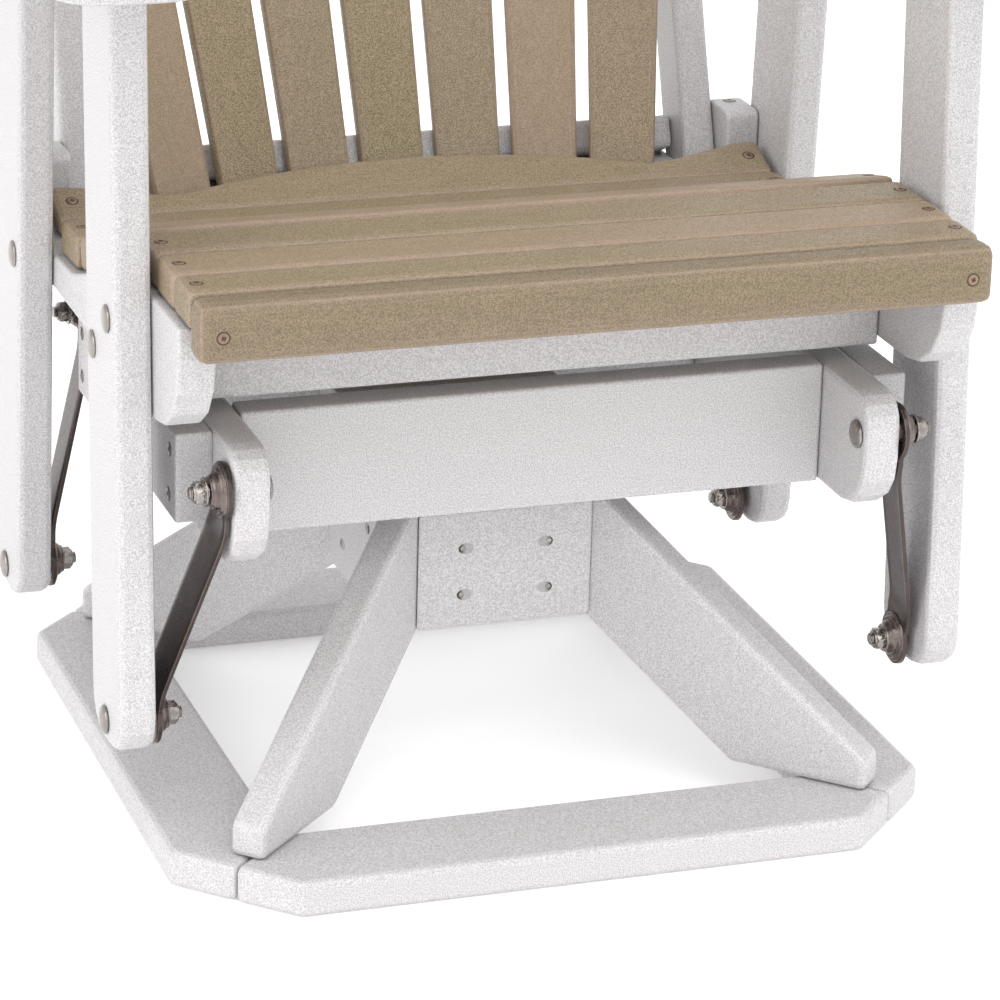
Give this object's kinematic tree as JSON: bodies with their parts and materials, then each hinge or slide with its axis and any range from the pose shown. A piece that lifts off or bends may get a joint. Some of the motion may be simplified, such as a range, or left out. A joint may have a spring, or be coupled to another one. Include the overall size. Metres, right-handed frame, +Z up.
{
  "type": "swivel glider armchair",
  "caption": "Outdoor swivel glider armchair: fan-shaped slat back and dipped slat seat hung on swing links from a frame that swivels on a square base with sloping legs.",
  "frame": {"origin": "middle of the chair's bounding box, on the floor", "axes": "+Z up; the chair faces -Y; +X is the sitter's left hand side, which is the viewer's right from the front"},
  "size_m": [0.806, 0.8247, 1.0757],
  "materials": {
    "base_board_front": "fine grained satin, white",
    "base_board_right": "fine grained satin, white",
    "base_board_back": "fine grained satin, white",
    "base_board_left": "fine grained satin, white",
    "leg_back_right": "fine grained satin, white",
    "leg_back_left": "fine grained satin, white",
    "leg_front_left": "fine grained satin, white",
    "leg_front_right": "fine grained satin, white",
    "hub_board_front": "fine grained satin, white",
    "hub_board_right": "fine grained satin, white",
    "hub_board_back": "fine grained satin, white",
    "hub_board_left": "fine grained satin, white",
    "swivel_plate_lower": "zinc plated",
    "swivel_plate_upper": "zinc plated",
    "side_rail_left": "fine grained satin, white",
    "side_rail_right": "fine grained satin, white",
    "cross_rail_front": "fine grained satin, white",
    "cross_rail_rear": "fine grained satin, white",
    "swivel_bearer": "fine grained satin, white",
    "upper_bolt_front_left": "stainless, slightly dull",
    "upper_bolt_front_right": "stainless, slightly dull",
    "upper_bolt_rear_left": "stainless, slightly dull",
    "upper_bolt_rear_right": "stainless, slightly dull",
    "link_front_left": "dark bronze coating",
    "link_front_right": "dark bronze coating",
    "link_rear_left": "dark bronze coating",
    "link_rear_right": "dark bronze coating",
    "lower_bolt_front_left": "stainless, slightly dull",
    "lower_bolt_front_right": "stainless, slightly dull",
    "lower_bolt_rear_left": "stainless, slightly dull",
    "lower_bolt_rear_right": "stainless, slightly dull",
    "post_front_left": "fine grained satin, white",
    "post_front_right": "fine grained satin, white",
    "post_rear_left": "fine grained satin, white",
    "post_rear_right": "fine grained satin, white",
    "seat_fascia": "fine grained satin, weathered wood tan",
    "seat_slat_1": "fine grained satin, weathered wood tan",
    "seat_slat_2": "fine grained satin, weathered wood tan",
    "seat_slat_3": "fine grained satin, weathered wood tan",
    "seat_slat_4": "fine grained satin, weathered wood tan",
    "seat_slat_5": "fine grained satin, weathered wood tan",
    "seat_slat_6": "fine grained satin, weathered wood tan",
    "seat_slat_7": "fine grained satin, weathered wood tan",
    "lumbar_board": "fine grained satin, weathered wood tan",
    "seat_apron": "fine grained satin, white",
    "seat_side_left": "fine grained satin, white",
    "seat_side_right": "fine grained satin, white",
    "upright_left": "fine grained satin, white",
    "upright_right": "fine grained satin, white",
    "back_rail": "fine grained satin, white",
    "back_brace": "fine grained satin, white",
    "back_slat_1": "fine grained satin, weathered wood tan",
    "back_slat_2": "fine grained satin, weathered wood tan",
    "back_slat_3": "fine grained satin, weathered wood tan",
    "back_slat_4": "fine grained satin, weathered wood tan",
    "back_slat_5": "fine grained satin, weathered wood tan",
    "back_slat_6": "fine grained satin, weathered wood tan",
    "back_slat_7": "fine grained satin, weathered wood tan",
    "arm_left": "fine grained satin, white",
    "arm_right": "fine grained satin, white"
  },
  "bodies": {
    "base": {"base_board_front": "base_board_front", "base_board_right": "base_board_right", "base_board_back": "base_board_back", "base_board_left": "base_board_left", "leg_back_right": "leg_back_right", "leg_back_left": "leg_back_left", "leg_front_left": "leg_front_left", "leg_front_right": "leg_front_right", "hub_board_front": "hub_board_front", "hub_board_right": "hub_board_right", "hub_board_back": "hub_board_back", "hub_board_left": "hub_board_left", "swivel_plate_lower": "swivel_plate_lower"},
    "glider_frame": {"swivel_plate_upper": "swivel_plate_upper", "side_rail_left": "side_rail_left", "side_rail_right": "side_rail_right", "cross_rail_front": "cross_rail_front", "cross_rail_rear": "cross_rail_rear", "swivel_bearer": "swivel_bearer", "upper_bolt_front_left": "upper_bolt_front_left", "upper_bolt_front_right": "upper_bolt_front_right", "upper_bolt_rear_left": "upper_bolt_rear_left", "upper_bolt_rear_right": "upper_bolt_rear_right"},
    "link_front_left": {"link_front_left": "link_front_left"},
    "link_front_right": {"link_front_right": "link_front_right"},
    "link_rear_left": {"link_rear_left": "link_rear_left"},
    "link_rear_right": {"link_rear_right": "link_rear_right"},
    "seat": {"lower_bolt_front_left": "lower_bolt_front_left", "lower_bolt_front_right": "lower_bolt_front_right", "lower_bolt_rear_left": "lower_bolt_rear_left", "lower_bolt_rear_right": "lower_bolt_rear_right", "post_front_left": "post_front_left", "post_front_right": "post_front_right", "post_rear_left": "post_rear_left", "post_rear_right": "post_rear_right", "seat_fascia": "seat_fascia", "seat_slat_1": "seat_slat_1", "seat_slat_2": "seat_slat_2", "seat_slat_3": "seat_slat_3", "seat_slat_4": "seat_slat_4", "seat_slat_5": "seat_slat_5", "seat_slat_6": "seat_slat_6", "seat_slat_7": "seat_slat_7", "lumbar_board": "lumbar_board", "seat_apron": "seat_apron", "seat_side_left": "seat_side_left", "seat_side_right": "seat_side_right", "upright_left": "upright_left", "upright_right": "upright_right", "back_rail": "back_rail", "back_brace": "back_brace", "back_slat_1": "back_slat_1", "back_slat_2": "back_slat_2", "back_slat_3": "back_slat_3", "back_slat_4": "back_slat_4", "back_slat_5": "back_slat_5", "back_slat_6": "back_slat_6", "back_slat_7": "back_slat_7", "arm_left": "arm_left", "arm_right": "arm_right"}
  },
  "joints": [
    {"name": "swivel", "type": "hinge", "parent": "base", "child": "glider_frame", "pos_m": [0, -0.10769, 0.24], "axis": [0, 0, 1], "continuous": true},
    {"name": "glide_front_left", "type": "hinge", "parent": "glider_frame", "child": "link_front_left", "pos_m": [-0.2751, -0.33759, 0.315], "axis": [1, 0, 0], "range_deg": [-8, 10]},
    {"name": "seat_hang", "type": "hinge", "parent": "link_front_left", "child": "seat", "pos_m": [-0.2987, -0.27742, 0.11694], "axis": [1, 0, 0], "range_deg": [-12.49, 9.99]},
    {"name": "glide_front_right", "type": "hinge", "parent": "glider_frame", "child": "link_front_right", "pos_m": [0.2751, -0.33759, 0.315], "axis": [1, 0, 0], "range_deg": [-8.01, 10.01]},
    {"name": "glide_rear_left", "type": "hinge", "parent": "glider_frame", "child": "link_rear_left", "pos_m": [-0.2751, 0.09881, 0.315], "axis": [1, 0, 0], "range_deg": [-7.66, 9.58]},
    {"name": "glide_rear_right", "type": "hinge", "parent": "glider_frame", "child": "link_rear_right", "pos_m": [0.2751, 0.09881, 0.315], "axis": [1, 0, 0], "range_deg": [-7.66, 9.58]}
  ],
  "couplings": [
    {"joint": "seat_hang", "follows": "glide_front_left", "ratio": -1.2476},
    {"joint": "glide_front_right", "follows": "glide_front_left", "ratio": 1},
    {"joint": "glide_rear_left", "follows": "glide_front_left", "ratio": 0.9567},
    {"joint": "glide_rear_right", "follows": "glide_front_left", "ratio": 0.9567}
  ]
}
